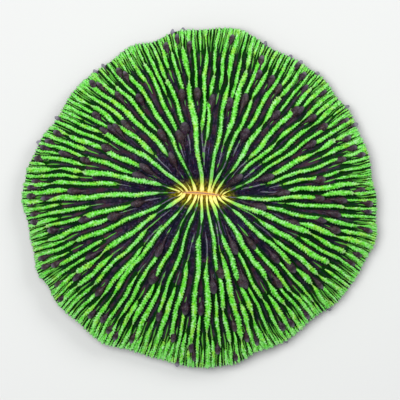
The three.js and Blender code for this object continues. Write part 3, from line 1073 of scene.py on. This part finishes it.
def ridge_line(ridge, step):
    """Points along a ridge's line at even steps: share, place, angle, run in mm, and the way across."""
    start = 0.0 if ridge.order == 1 else max(THREADS_FROM, ridge.start - LEAD[min(ridge.order, 3)])
    short = lerp(*RIM_SHORT[ridge.order >= THIN_ORDER], scatter(ridge.number + 0.27))
    shares = np.linspace(start, min(ridge.end, 1.0 - short / MEAN_REACH), len(FINE_SHARES))
    angles = np.interp(shares, FINE_SHARES, FINE_ANGLES[ridge.number])
    places = spot(shares, angles)
    if ridge.order == 1:
        places = bend_to_slit(shares, angles, places)
    runs = np.concatenate([[0.0], np.cumsum(np.abs(np.diff(places)))])
    run = np.linspace(0.0, runs[-1], max(FEWEST_RINGS, int(round(runs[-1] / step)) + 1))
    share, place, angle = (np.interp(run, runs, values) for values in (shares, places, angles))
    ahead = np.gradient(place)
    return share, place, angle, run, 1j * ahead / np.maximum(np.abs(ahead), TINY)


def tooth_shape(phase):
    """A tooth that rises slowly outwards and falls back fast."""
    part = np.mod(phase, 1.0)
    return np.where(part < TOOTH_POINT, smooth(part, 0.0, TOOTH_POINT), smooth(part, 1.0, TOOTH_POINT))


def ragged_edge(phase, teeth, luck):
    """How far one edge of a crest stands out, from 0 to 1: uneven teeth, some of them missing."""
    moved = phase + TOOTH_WANDER * np.interp(phase, np.arange(teeth), luck.random(teeth))
    strength = luck.random(teeth)[np.minimum(moved.astype(int), teeth - 1)] ** 2
    drift = np.interp(phase * EDGE_DRIFT, np.arange(2 * teeth), luck.random(2 * teeth))
    tooth = (tooth_shape(moved) - 0.5) * lerp(*TOOTH_STRENGTHS, strength)
    return np.clip(lerp(*EDGE_OUT, drift) + tooth, 0.0, 1.0)


def band_profile(ridge, share):
    """How a crest's bands swell and narrow: width part, sideways shift in mm, how near the band's outer
    tip it is, how far the band has begun, and how whole it still is."""
    edges = np.array([ridge.start if ridge.order > 1 else -0.2] + ridge.breaks() + [1.3])
    band = step_at(edges, share)
    since = (share - edges[band]) * MEAN_REACH
    until = (edges[band + 1] - share) * MEAN_REACH
    luck = np.array([scatter(ridge.number * 1.37 + 0.61 * k) for k in range(len(edges))])
    grows = lerp(*BAND_GROWS, luck[band])
    narrows = lerp(*BAND_NARROWS, luck[(band + 1) % len(luck)] ** 2)
    width = smooth(since, -0.4, grows) * smooth(until, -0.4, narrows)
    width = lerp(THREAD_PART, 1.0, width) * lerp(*BAND_WIDTHS, luck[band])
    shift = BAND_SHIFT * (luck[band] - 0.5) * eased(share, 0.6, 0.9, 1.0, 0.4) * smooth(share, 0.1, 0.2)
    shift = np.pad(shift, SHIFT_STEPS // 2, mode="edge")
    shift = np.convolve(shift, np.ones(SHIFT_STEPS) / SHIFT_STEPS, mode="valid")
    tip = 1.0 - smooth(until, 0.1, 1.7)
    return width, shift, tip, smooth(since, -0.2, 2.2), smooth(until, -0.3, 1.5)


def inner_gap(ridge, share):
    """Where a first ridge's inner part ends: how dull it is there, and how full its crest is."""
    if ridge.number not in INNER_GAPS:
        return np.zeros_like(share), np.ones_like(share)
    middle, gap = INNER_GAPS[ridge.number]
    past = (share - middle) * MEAN_REACH
    near, far = -0.5 * gap, 0.5 * gap
    dull = smooth(past, near - 0.8, near + 0.4) * smooth(past, far + 0.8, far - 0.4)
    full = np.where(past < 0, smooth(past, near, near - 3.0), smooth(past, far - 0.4, far + 2.6))
    return dull, lerp(INNER_GAP_WIDTH, 1.0, full)


def width_part(ridge, share, angle):
    """How wide a ridge's crest is, of the usual width at a share."""
    number = ridge.number
    own = lerp(*OWN_WIDTHS, scatter(number + 0.8))
    if ridge.end < 1.0:
        own *= SEPTUM_WIDTH
    if ridge.order >= THIN_ORDER:
        own *= THIN_WIDTH
    if ridge.order > 2 and scatter(number + 0.15) < SLIM_CHANCE:
        own *= SLIM_WIDTH
    bulge = 1.0 + INNER_BULGE * smooth(share, 0.03, 0.08) * smooth(share, 0.2, 0.12) * scatter(number + 0.33)
    at_slit = eased(share, 0.15, 0.06, 1.0, lerp(*SLIT_WIDTHS, scatter(number + 0.37)))
    at_slit = at_slit * eased(share, 0.02, 0.05, SLIT_BULGE, 1.0)
    slit_end = 1.0 - SLIT_END_THINNING * np.cos(np.radians(angle)) ** 6 * smooth(share, 0.14, 0.05)
    return own * bulge * at_slit * slit_end


def ridge_shape(ridge, settings):
    """How many rings a ridge's tube takes, and the function that lays them along it."""
    number = ridge.number
    first = ridge.order == 1
    septum = ridge.end < 1.0
    spacing = in_mm(settings.tooth)
    share, place, angle, run, across = ridge_line(ridge, spacing / settings.steps_per_tooth)
    rings = len(share)
    to_end = run[-1] - run
    width, shift, tip, begun, whole = band_profile(ridge, share)
    dull, full = inner_gap(ridge, share)
    wobble = 0.05 * np.sin(run * 0.9 + 9 * scatter(number + 0.6)) + 0.02 * np.sin(run * 2.3 + number)
    place = place + across * (shift + wobble * smooth(share, 0.1, 0.2) * smooth(to_end, 0.0, 2.0))
    lead = dull if first else 1.0 - smooth((share - ridge.start) * MEAN_REACH, -1.2, 0.6)

    luck = np.random.default_rng(number)
    teeth = int(run[-1] / spacing) + 3
    toothed = smooth(share, 0.07, 0.22)
    phase = run / spacing + luck.random()
    left = ragged_edge(phase, teeth, luck)
    right = ragged_edge(phase + RIGHT_TEETH_LATER, teeth, luck)
    slow = np.sin(run / 2.3 + 9 * scatter(number + 0.4)) * np.sin(run / 1.3 + 5 * scatter(number))

    half = 0.5 * crest_width(share, settings) * width_part(ridge, share, angle) * full * width
    half = half * (1.0 + SWELL * slow * toothed)
    thread = 0.5 * THREAD_WIDTH * (1.0 + THREAD_SWELL * slow) * smooth(run, -0.4, 3.0)
    half = np.maximum(lerp(half, thread, lead), 0.0 if first else 0.6 * thread)
    nose = smooth(to_end, -0.1, 3.0 if septum else 0.7)
    half = half * lerp(0.12 if septum else 0.45, 1.0, nose) * eased(share, 0.965, 0.99, 1.0, RIM_TAPER)

    height = ridge.height(share) * lerp(0.66, 1.0, begun * whole)
    thread = THREAD_HEIGHT * smooth(run, 0.0, 2.0)
    height = np.maximum(lerp(height, thread, lead), 0.8 * thread) - 0.12
    round_end = np.sqrt(1.0 - (1.0 - np.clip(to_end / 1.3, 0.0, 1.0)) ** 2)
    height = height * lerp(0.5, 1.0, round_end)
    if first:
        height = height - 0.45 * smooth(run, 1.4, -0.3)
        half = half * eased(run, 0.0, 1.2, 0.7, 1.0)
    ground = flesh_height(share, angle)
    foot = eased(share, 0.9, 0.985, ground - FOOT_DEPTH, EDGE_LEVEL + wave(share, angle))

    def shape(points):
        ring = np.rint(points[:, 2] * (rings - 1)).astype(int)
        corner = np.rint(np.arctan2(points[:, 1], points[:, 0]) / (2 * math.pi / len(SECTION))).astype(int)
        side, up = SECTION[corner % len(SECTION)].T
        tooth = np.where(side > 0, left[ring], right[ring])
        notch = settings.tooth_depth * (tooth - 0.5) * toothed[ring] * (np.abs(side) > 0.6)
        lean = TOOTH_LEAN * (tooth - 0.5) * np.abs(side) * toothed[ring]
        drop = np.where(side == 0, 0.7 + 0.15 * (left[ring] + right[ring]), tooth)
        sunk = TOOTH_DROP * (1.0 - drop) * toothed[ring] * (up > 0.6) * (1.0 - lead[ring])
        top = ground[ring] + np.maximum(up * height[ring] - sunk, -0.3)
        sideways = side * half[ring] * (1.0 + notch)
        at = place[ring] + across[ring] * (sideways - 1j * lean * nose[ring])
        end_cap = np.where(up < 0, 0.5, 0.4 + 0.55 * up)
        return in_space(at, np.where(up < 0, foot[ring], top)), {
            "share": share[ring],
            "crest": lerp(np.maximum(up, 0.0), end_cap, 1.0 - nose[ring]) - 0.18 * septum,
            "tooth": drop * toothed[ring] + (1.0 - toothed[ring]),
            "phase": phase[ring],
            "side": side,
            "tip": tip[ring] * (1.0 - lead[ring]),
            "root": (1.0 - begun[ring]) * (not first or share[ring] > 0.2),
            "lead": lead[ring],
            "tint": scatter(number + 0.05),
            "number": 3.7 * number,
        }

    return rings, shape


def tentacle_shape(ridge, share, settings, number):
    """The function that lays a ball along a tentacle, from the end of its stem to its round head."""
    angle = float(np.interp(share, FINE_SHARES, FINE_ANGLES[ridge.number]))
    on_rim = share == RIM_TENTACLE_AT
    angle += RIM_TENTACLE_BESIDE if on_rim else 0.0
    size = float(eased(share, TENTACLES_SHRINK_FROM, 1.0, 1.0, TENTACLE_PART_AT_RIM))
    size *= SMALL_TENTACLE_PART if share > SMALL_TENTACLES_FROM else 1.0
    aside = TENTACLE_ASIDE[share != ridge.start] * math.copysign(1.0, scatter(number + 0.35) - 0.5)
    head = in_mm(settings.length) * size
    stem = in_mm(settings.stem) * size * lerp(*STEM_LENGTHS, scatter(number + 0.2))
    width = 0.5 * in_mm(settings.width) * size * lerp(*HEAD_WIDTHS, scatter(number + 0.3))
    height = 0.5 * in_mm(settings.height) * size
    lumps = np.random.default_rng(number)

    behind = share - 0.02
    place = spot(share, angle)
    outward = place - spot(behind, angle)
    ground = flesh_height(share, angle)
    slope = (ground - flesh_height(behind, angle)) / abs(outward)
    outward = outward / abs(outward)
    place = place + 1j * outward * aside
    outward = outward * way(TENTACLE_TWIST * (scatter(number + 0.45) - 0.5))
    tint = 0.25 + 0.4 * scatter(number + 0.6) * (share > 0.8) + 0.35 * (share > 0.98)
    pale = (0.76, 1.0) if share < 0.98 else (0.5, 0.8)

    def shape(points):
        part = 0.5 + 0.5 * points[:, 2]
        run = lerp(-0.5 * head - stem, 0.5 * head, part)
        stem_part = stem / (stem + head)
        swell = eased(part, 0.5 * stem_part, stem_part + 0.22, STEM_THICKNESS, 1.0)
        swell = swell * lerp(*TENTACLE_LUMPS, lumps.random(len(points)))
        level = eased(part, 0.3 * stem_part, stem_part + 0.2, STEM_LEVEL, TENTACLE_LEVEL * size + 0.1)
        at = place + outward * (run + 1j * points[:, 0] * width * swell)
        z = ground + slope * run + level + points[:, 1] * height * swell
        return in_space(at, z), {
            "outline_highlight": 1.0 - np.abs(points[:, 1]) / np.maximum(np.hypot(points[:, 0], points[:, 1]), TINY),
            "pale": smooth(part, *pale) * tint,
            "kind": scatter(number + 0.7),
        }

    return shape


def lip_shape(points):
    """Two long low lips either side of the slit."""
    along = points[:, 0] * (MOUTH_HALF_LENGTH * SLIT_PART + LIP_PAST_SLIT)
    across = points[:, 1] * LIP_HALF_WIDTH * (1 + 0.1 * np.sin(along * 2.4))
    bow = LIP_BOW * (1 - points[:, 0] ** 2)
    groove = LIP_GROOVE * np.exp(-((across / LIP_GROOVE_WIDTH) ** 2)) * (points[:, 2] > 0)
    pucker = LIP_PUCKER * np.cos(along * 5.2) * np.abs(points[:, 1])
    height = flesh_height(0.0, 0.0) + LIP_LEVEL + points[:, 2] * LIP_HEIGHT - groove + pucker
    place = MOUTH + (along + 1j * (across + bow)) * SLIT_WAY
    return in_space(place, height), {"across": np.abs(points[:, 1])}


class CORAL_OT_stage(bpy.types.Operator):
    """Sets up the camera straight above, the pale floor and the soft lights"""

    bl_idname = "coral.stage"
    bl_label = "Camera, Floor and Lights"

    def execute(self, context):
        settings = context.scene.coral_stage
        context.scene.camera = self.add_camera(settings)
        self.add_floor(settings)
        self.add_light("key", *KEY_LIGHT, settings.key_power)
        self.add_light("fill", *FILL_LIGHT, settings.fill_power)
        world = bpy.data.worlds.new("studio")
        world.use_nodes = True
        background = world.node_tree.nodes["Background"]
        background.inputs["Color"].default_value = WORLD_COLOUR
        background.inputs["Strength"].default_value = WORLD_STRENGTH
        context.scene.world = world
        context.scene.view_settings.view_transform = "Standard"
        return {"FINISHED"}

    def add_camera(self, settings):
        data = bpy.data.cameras.new("camera")
        data.sensor_width = SENSOR_WIDTH
        data.lens = SENSOR_WIDTH * (settings.camera_height - RIM_HEIGHT) / settings.picture_width
        pixel = settings.picture_width / PICTURE_PIXELS
        right, down = (middle - PICTURE_PIXELS / 2 for middle in MIDDLE_PIXEL)
        camera = add_object("camera", data)
        camera.location = (-right * pixel, down * pixel, settings.camera_height)
        return camera

    def add_floor(self, settings):
        form = bmesh.new()
        bmesh.ops.create_grid(form, x_segments=8, y_segments=8, size=FLOOR_HALF_WIDTH)
        mesh = bpy.data.meshes.new("floor")
        form.to_mesh(mesh)
        form.free()
        mesh.materials.append(floor_finish(settings.floor))
        floor = add_object("floor", mesh)

    def add_light(self, name, place, size, energy):
        data = bpy.data.lights.new(name, "AREA")
        data.shape = "DISK"
        data.size = size
        data.energy = energy
        light = add_object(name, data)
        light.location = place
        light.rotation_euler = (-light.location).to_track_quat("-Z", "Y").to_euler()


class CORAL_OT_flesh(bpy.types.Operator):
    """Models the disc's skin: the dark flesh between the ridges, the edge and the underside"""

    bl_idname = "coral.flesh"
    bl_label = "Flesh"

    def execute(self, context):
        piece = Gather("flesh")
        piece.add(tube_form(SKIN_COLUMNS, len(SKIN_ROWS), tris=True), skin_shape)
        piece.finish(flesh_finish(context.scene.coral_colours))
        return {"FINISHED"}


class CORAL_OT_ridges(bpy.types.Operator):
    """Models the toothed ridges, in one piece for each stage of their growth"""

    bl_idname = "coral.ridges"
    bl_label = "Ridges"

    def execute(self, context):
        material = crest_finish(context.scene.coral_colours)
        groups = {
            "ridges_first": [ridge for ridge in RIDGES if ridge.order == 1] + SEPTA,
            "ridges_second": [ridge for ridge in RIDGES if ridge.order == 2],
            "ridges_third": [ridge for ridge in RIDGES if ridge.order == 3],
            "ridges_later": [ridge for ridge in RIDGES if ridge.order > 3],
            "ridges_fringe": FRINGE,
        }
        for name, ridges in groups.items():
            piece = Gather(name)
            for ridge in ridges:
                rings, shape = ridge_shape(ridge, context.scene.coral_ridges)
                piece.add(tube_form(len(SECTION), rings), shape)
            piece.finish(material)
        return {"FINISHED"}


class CORAL_OT_tentacles(bpy.types.Operator):
    """Models the short tentacles between the ridges and over the rim"""

    bl_idname = "coral.tentacles"
    bl_label = "Tentacles"

    def execute(self, context):
        piece = Gather("tentacles")
        for number, (ridge, share) in enumerate(tentacle_seats()):
            shape = tentacle_shape(ridge, share, context.scene.coral_tentacles, number)
            piece.add(ball_form(12, 9), shape)
        piece.finish(tentacle_finish(context.scene.coral_colours))
        return {"FINISHED"}


class CORAL_OT_mouth(bpy.types.Operator):
    """Models the mouth's lips along the slit"""

    bl_idname = "coral.mouth"
    bl_label = "Mouth"

    def execute(self, context):
        piece = Gather("mouth_lips")
        piece.add(ball_form(96, 48), lip_shape)
        piece.finish(lips_finish(context.scene.coral_colours))
        return {"FINISHED"}


class CORAL_PT_panel(bpy.types.Panel):
    """Lists the steps that make the coral"""

    bl_idname = "CORAL_PT_panel"
    bl_label = "Mushroom Coral"
    bl_space_type = "VIEW_3D"
    bl_region_type = "UI"
    bl_category = "Coral"

    def draw(self, context):
        for operator in OPERATORS:
            self.layout.operator(operator.bl_idname)
        for group in SETTINGS:
            values = getattr(context.scene, group)
            for name in values.__annotations__:
                self.layout.prop(values, name)


OPERATORS = (CORAL_OT_stage, CORAL_OT_flesh, CORAL_OT_ridges, CORAL_OT_tentacles, CORAL_OT_mouth)
SETTINGS = {
    "coral_stage": StageSettings,
    "coral_colours": ColourSettings,
    "coral_ridges": RidgeSettings,
    "coral_tentacles": TentacleSettings,
}


def register():
    for group in SETTINGS.values():
        bpy.utils.register_class(group)
    for name, group in SETTINGS.items():
        setattr(bpy.types.Scene, name, PointerProperty(type=group))
    for operator in OPERATORS:
        bpy.utils.register_class(operator)
    bpy.utils.register_class(CORAL_PT_panel)


def unregister():
    bpy.utils.unregister_class(CORAL_PT_panel)
    for operator in reversed(OPERATORS):
        bpy.utils.unregister_class(operator)
    for name in SETTINGS:
        delattr(bpy.types.Scene, name)
    for group in reversed(list(SETTINGS.values())):
        bpy.utils.unregister_class(group)


def main():
    register()
    bpy.ops.coral.stage()
    bpy.ops.coral.flesh()
    bpy.ops.coral.ridges()
    bpy.ops.coral.tentacles()
    bpy.ops.coral.mouth()


if __name__ == "__main__":
    main()
